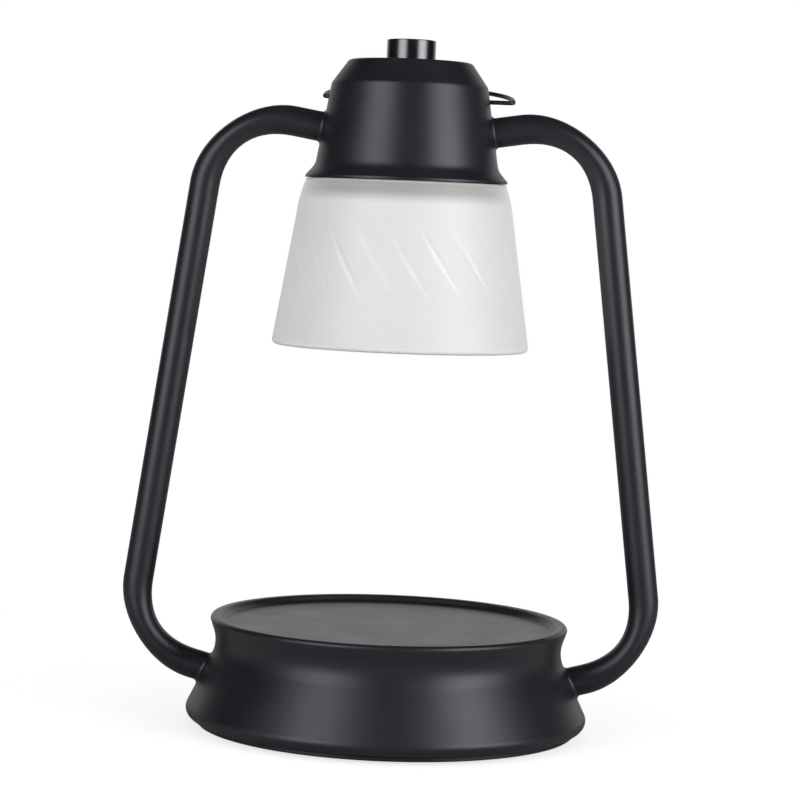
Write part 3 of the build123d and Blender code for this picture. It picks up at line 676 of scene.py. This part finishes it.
# glass shade
shade = {
    "wall": 3.2,
    "holeRadius": 19.8,
    "topRadius": 40.7,
    "neckFlare": 2.4,
    "neckHeight": 7.2,
    "bottomRadius": 52.7,           # before its lip is rounded
    "shoulderRound": 1.0,
    "neckRound": 44.0,
    "lipRound": 1.9,
    "innerLipRound": 0.8,
    "innerNeckRound": 29.0,
    "innerShoulderRound": 2.4,
    "roundSegments": 7,
    "steps": 720,
    "rows": 64,                     # along the outside, for the flutes
    "fluteCount": 22,
    "fluteFirst": -11.0,            # degrees from the front at its upper end
    "fluteSweep": 28.0,             # degrees that a flute runs round on its way down
    "fluteTop": 211.5,
    "fluteBottom": 175.5,
    "fluteHalfWidth": 1.5,
    "fluteWiden": (1.3, 0.8),       # share of that width at its upper and its lower end
    "flutePoint": 0.8,              # how its ends come to a point
    "fluteSag": 1.3,                # above 1, its deepest part is a little below the middle
    "fluteDepth": 0.38,
    "fluteUneven": 0.8,             # the flutes are cut less deep on two sides, which also makes their painted highlight fainter there
    "fluteDeepest": 15.0,           # degrees from the front, and again on the other side
}


def fluteAt(x, y, z):
    # how deep in a flute a point of the outside lies: 0 between the flutes, 1 in the middle of the deepest
    along = (shade["fluteTop"] - z) / (shade["fluteTop"] - shade["fluteBottom"])
    if not 0 < along < 1:
        return 0.0
    radius = hypot(x, y)
    angle = degrees(atan2(x, -y))
    pitch = 360 / shade["fluteCount"]
    middle = shade["fluteFirst"] + shade["fluteSweep"] * along
    off = (angle - middle + pitch / 2) % pitch - pitch / 2
    swell = sin(pi * along ** shade["fluteSag"])
    bite = 1 - shade["fluteUneven"] * sin(radians(angle - shade["fluteDeepest"])) ** 2
    upper, lower = shade["fluteWiden"]
    width = shade["fluteHalfWidth"] * (upper + (lower - upper) * along) * swell ** shade["flutePoint"]
    across = radians(off) * radius / (width + 0.01)     # the 0.01 keeps the flute's very ends from a zero
    return bite * swell * max(0.0, 1 - across * across)


def insideOf(line, wall):
    # the line moved to its left by the wall, corner by corner
    points = [Vector(point) for point in line]
    runs = [(b - a).normalized() for a, b in zip(points, points[1:])]
    moved = []
    for i, point in enumerate(points):
        turn = runs[max(i - 1, 0)] + runs[min(i, len(runs) - 1)]
        moved.append(point + Vector((-turn.y, turn.x)) * 2 * wall / turn.length_squared)
    return moved


def outerSlope(bottom, top):
    # how much the straight outer wall narrows for each mm up
    kneeRadius = shade["topRadius"] + shade["neckFlare"]
    return (shade["bottomRadius"] - kneeRadius) / (top - shade["neckHeight"] - bottom)


def shadeCorners(bottom, top):
    # radius, height and rounding of the section's corners: down the outside from the hole to the lip, then
    # up the inside
    lip = (shade["bottomRadius"], bottom)
    knee = (shade["topRadius"] + shade["neckFlare"], top - shade["neckHeight"])
    outer = [lip, knee, (shade["topRadius"], top), (shade["holeRadius"], top)]
    inner = insideOf(outer, shade["wall"])
    inner[0] = (shade["bottomRadius"] - shade["wall"] * hypot(1, outerSlope(bottom, top)), bottom)
    outerRounds = (shade["lipRound"], shade["neckRound"], shade["shoulderRound"], 0)
    innerRounds = (shade["innerLipRound"], shade["innerNeckRound"], shade["innerShoulderRound"], 0)
    corners = [(r, z, rounding) for (r, z), rounding in zip(outer, outerRounds)][::-1]
    return corners + [(r, z, rounding) for (r, z), rounding in zip(inner, innerRounds)]


def drawSection(bm, corners):
    verts = [bm.verts.new((r * mm, 0, z * mm)) for r, z, _ in corners]
    for i, vert in enumerate(verts):
        bm.edges.new((vert, verts[(i + 1) % len(verts)]))
    for i, (r, z, rounding) in enumerate(corners):
        if not rounding:
            continue
        before, at, after = (Vector(corners[j % len(corners)][:2]) for j in (i - 1, i, i + 1))
        turn = pi - (before - at).angle(after - at)
        corner = min(bm.verts, key=lambda v: (v.co - Vector((r, 0, z)) * mm).length)
        bmesh.ops.bevel(bm, geom=[corner], offset=rounding * mm * tan(turn / 2), offset_type="OFFSET",
                        segments=shade["roundSegments"], profile=0.5, affect="VERTICES", material=-1)


def cutFlutes(bm, layer, bottom, top):
    slope = outerSlope(bottom, top)
    for vert in bm.verts:
        x, y, z = vert.co / mm
        outside = shade["bottomRadius"] - slope * (z - bottom)
        if hypot(x, y) > outside - 0.5 * shade["wall"]:
            depth = fluteAt(x, y, z)
            vert[layer] = depth
            vert.co -= Vector((x, y, 0)).normalized() * depth * shade["fluteDepth"] * mm


def makeGlassShade():
    low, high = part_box("glass_shade")
    bottom, top = low.z / mm, high.z / mm
    bm = bmesh.new()
    # the flute depth kept on each point also sets the painted highlight in the glass's colour
    layer = bm.verts.layers.float.new("flute")
    drawSection(bm, shadeCorners(bottom, top))
    half = 0.5 * (top - bottom) * mm
    walls = [edge for edge in bm.edges if abs(edge.verts[0].co.z - edge.verts[1].co.z) > half]
    outerWall = max(walls, key=lambda edge: edge.verts[0].co.x + edge.verts[1].co.x)
    bmesh.ops.subdivide_edges(bm, edges=[outerWall], cuts=shade["rows"])
    bmesh.ops.spin(bm, geom=bm.verts[:] + bm.edges[:], cent=(0, 0, 0), axis=(0, 0, 1), angle=2 * pi,
                   steps=shade["steps"], use_merge=True)
    bmesh.ops.recalc_face_normals(bm, faces=bm.faces)
    cutFlutes(bm, layer, bottom, top)
    for face in bm.faces:
        face.smooth = True
    mesh = bpy.data.meshes.new("flutedShade")
    bm.to_mesh(mesh)
    print("shade:", len(bm.faces), "faces")
    bm.free()
    piece = bpy.data.objects.new("flutedShade", mesh)
    scene.collection.objects.link(piece)
    return piece


etchedGlass = {
    "milk": "#d3d4d2",
    "thin": "#dadbd9",              # where the etch is a little thinner
    "cloud": 30,
    "neck": "#9e9e9c",              # painted shade under the hood, standing for its shadow and for the dark hood and holder behind the wall
    "neckFade": (9.8, 3.7),         # below the top, from none of that tone to all
    "neckClearing": 1.3,            # how fast the painted shade fades where the wall is seen at a slant
    "shoulder": "#c2c2c0",          # painted highlight: a paler line at the very top, just under the hood's flange
    "shoulderFade": (1.1, 0.4),     # below the top
    "lip": "#f8f8f7",               # painted highlight along the rounded lip
    "lipHighlightFade": (0.7, 2.2),          # above the bottom
    # painted highlight: the flutes are painted paler; their smoother surface is real
    "flute": "#e2e3e2",
    "roughness": 0.46,
    "fluteRoughness": 0.24,
    "fluteGloss": 0.6,              # share of a flute's full depth at which it is fully smooth
    "ior": 1.5,
    "tooth": 0.8,                   # the etch's grain, coarser than the real one, so that it shows
    "toothDepth": 0.006,
    "scatter": 0.8,
    "scatterDepth": 4,
    "scatterColour": (1.0, 0.98, 0.94),
}


def frostedGlass():
    # blown soda glass, acid-etched: milky grey-white that glows where light comes through the wall, a fine
    # even tooth on the surface, and cut flutes that are smoother and catch the light; the flutes are made
    # paler by a painted highlight, with painted shade below the hood and painted highlights under its flange
    # and along the lip
    material, tree, place = startMaterial("acidEtchedGlass")
    low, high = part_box("glass_shade")
    flute = addNode(tree, "Attribute", {"attribute_name": "flute"}).outputs["Fac"]
    cloud = addNode(tree, "TexNoise", None, {
        "Vector": place, "Scale": 1 / (etchedGlass["cloud"] * mm), "Detail": 3.0,
    })
    milk = addNode(tree, "MixRGB", None, {
        "Fac": cloud.outputs["Fac"],
        "Color1": linearColour(etchedGlass["milk"]),
        "Color2": linearColour(etchedGlass["thin"]),
    })
    height = addNode(tree, "SeparateXYZ", None, {0: place}).outputs["Z"]
    # painted shade on the glass's top below the hood, standing for its shadow and the dark parts behind the
    # wall
    neck = addNode(tree, "MapRange", {"interpolation_type": "SMOOTHSTEP"}, {
        "Value": height,
        "From Min": high.z - etchedGlass["neckFade"][0] * mm,
        "From Max": high.z - etchedGlass["neckFade"][1] * mm,
    })
    # the painted shade fades where the wall is seen at a slant, as a thicker wall would hide more of the dark
    # parts behind it
    slant = addNode(tree, "LayerWeight", None, {"Blend": 0.5}).outputs["Facing"]
    steep = addNode(tree, "Math", {"operation": "POWER"}, {0: slant, 1: 2.0})
    through = addNode(tree, "Math", {"operation": "MULTIPLY_ADD", "use_clamp": True}, {
        0: steep.outputs[0], 1: -etchedGlass["neckClearing"], 2: 1.0,
    })
    dim = addNode(tree, "Math", {"operation": "MULTIPLY"}, {
        0: neck.outputs["Result"], 1: through.outputs[0],
    })
    shaded = addNode(tree, "MixRGB", None, {
        "Fac": dim.outputs[0], "Color1": milk.outputs[0], "Color2": linearColour(etchedGlass["neck"]),
    })
    # painted highlight along the glass's top edge, under the hood's flange
    shoulder = addNode(tree, "MapRange", None, {
        "Value": height,
        "From Min": high.z - etchedGlass["shoulderFade"][0] * mm,
        "From Max": high.z - etchedGlass["shoulderFade"][1] * mm,
    })
    crowned = addNode(tree, "MixRGB", None, {
        "Fac": shoulder.outputs[0], "Color1": shaded.outputs[0],
        "Color2": linearColour(etchedGlass["shoulder"]),
    })
    # painted highlight along the bottom lip
    lip = addNode(tree, "MapRange", None, {
        "Value": height,
        "From Min": low.z + etchedGlass["lipHighlightFade"][0] * mm,
        "From Max": low.z + etchedGlass["lipHighlightFade"][1] * mm,
        "To Min": 1.0, "To Max": 0.0,
    })
    rimmed = addNode(tree, "MixRGB", None, {
        "Fac": lip.outputs[0], "Color1": crowned.outputs[0], "Color2": linearColour(etchedGlass["lip"]),
    })
    # the flutes painted paler: a painted highlight
    colour = addNode(tree, "MixRGB", None, {
        "Fac": flute, "Color1": rimmed.outputs[0], "Color2": linearColour(etchedGlass["flute"]),
    })
    gloss = addNode(tree, "MapRange", None, {
        "Value": flute, "From Min": 0.0, "From Max": etchedGlass["fluteGloss"],
        "To Min": etchedGlass["roughness"], "To Max": etchedGlass["fluteRoughness"],
    })
    tooth = addNode(tree, "TexNoise", None, {
        "Vector": place, "Scale": 1 / (etchedGlass["tooth"] * mm), "Detail": 2.0,
    })
    bump = addNode(tree, "Bump", None, {
        "Strength": 1.0, "Distance": etchedGlass["toothDepth"] * mm, "Height": tooth.outputs["Fac"],
    })
    shader = addNode(tree, "BsdfPrincipled", None, {
        "Base Color": colour.outputs[0], "Roughness": gloss.outputs["Result"], "IOR": etchedGlass["ior"],
        "Subsurface Weight": etchedGlass["scatter"], "Subsurface Radius": etchedGlass["scatterColour"],
        "Subsurface Scale": etchedGlass["scatterDepth"] * mm, "Normal": bump.outputs["Normal"],
    })
    finishMaterial(tree, shader)
    return material


glassPiece = makeGlassShade()
glassPiece.data.materials.append(frostedGlass())
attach(glassPiece, "lamp")
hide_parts("glass_shade")
print("glass shade done")
